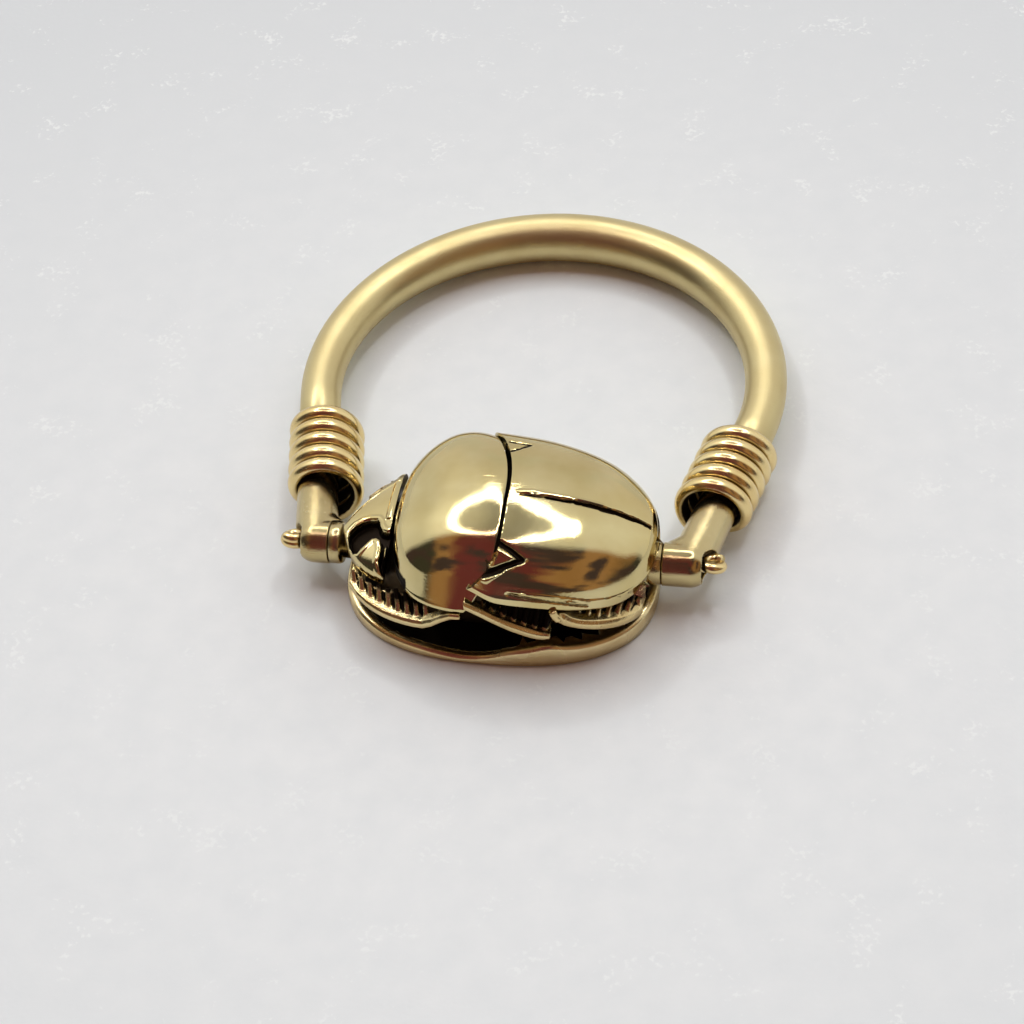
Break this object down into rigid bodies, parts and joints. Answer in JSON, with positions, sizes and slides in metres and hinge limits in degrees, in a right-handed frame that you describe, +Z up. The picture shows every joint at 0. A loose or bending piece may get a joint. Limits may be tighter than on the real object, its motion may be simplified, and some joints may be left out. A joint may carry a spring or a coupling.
{
  "type": "scarab swivel ring",
  "caption": "Finger ring with a beetle-shaped bezel that turns over on a wire held between the hoop's wire-bound ends.",
  "frame": {"origin": "middle of the scarab's flat underside, on the table under the pin", "axes": "+X along the pin to the scarab's tail, +Y to the back of the hoop, +Z up through the scarab's back"},
  "size_m": [0.0209, 0.025, 0.0057],
  "materials": {
    "polished_gold": "polished yellow gold with fine scratches",
    "gold_wire": "drawn gold wire, dark between the turns",
    "worn_gold": "cast gold, worn bright on the edges and dark in the recesses",
    "dark_gold": "blackened cast gold"
  },
  "bodies": {
    "ring": {"hoop": "polished_gold", "left_coil": "gold_wire", "right_coil": "gold_wire", "left_knuckle": "polished_gold", "right_knuckle": "polished_gold"},
    "swivel_wire": {"swivel_wire": "gold_wire"},
    "scarab": {"bearing_tube": "worn_gold", "underbody": "dark_gold", "base_plate": "worn_gold", "head": "polished_gold", "pronotum": "polished_gold", "elytra": "polished_gold", "near_foreleg": "worn_gold", "near_midleg": "worn_gold", "near_hindleg": "worn_gold", "far_foreleg": "worn_gold", "far_midleg": "worn_gold", "far_hindleg": "worn_gold"}
  },
  "joints": [
    {"name": "wire_turn", "type": "hinge", "parent": "ring", "child": "swivel_wire", "pos_m": [0, 0, 0.0019], "axis": [1, 0, 0], "continuous": true},
    {"name": "scarab_turn", "type": "hinge", "parent": "ring", "child": "scarab", "pos_m": [0, 0, 0.0019], "axis": [1, 0, 0], "continuous": true}
  ]
}
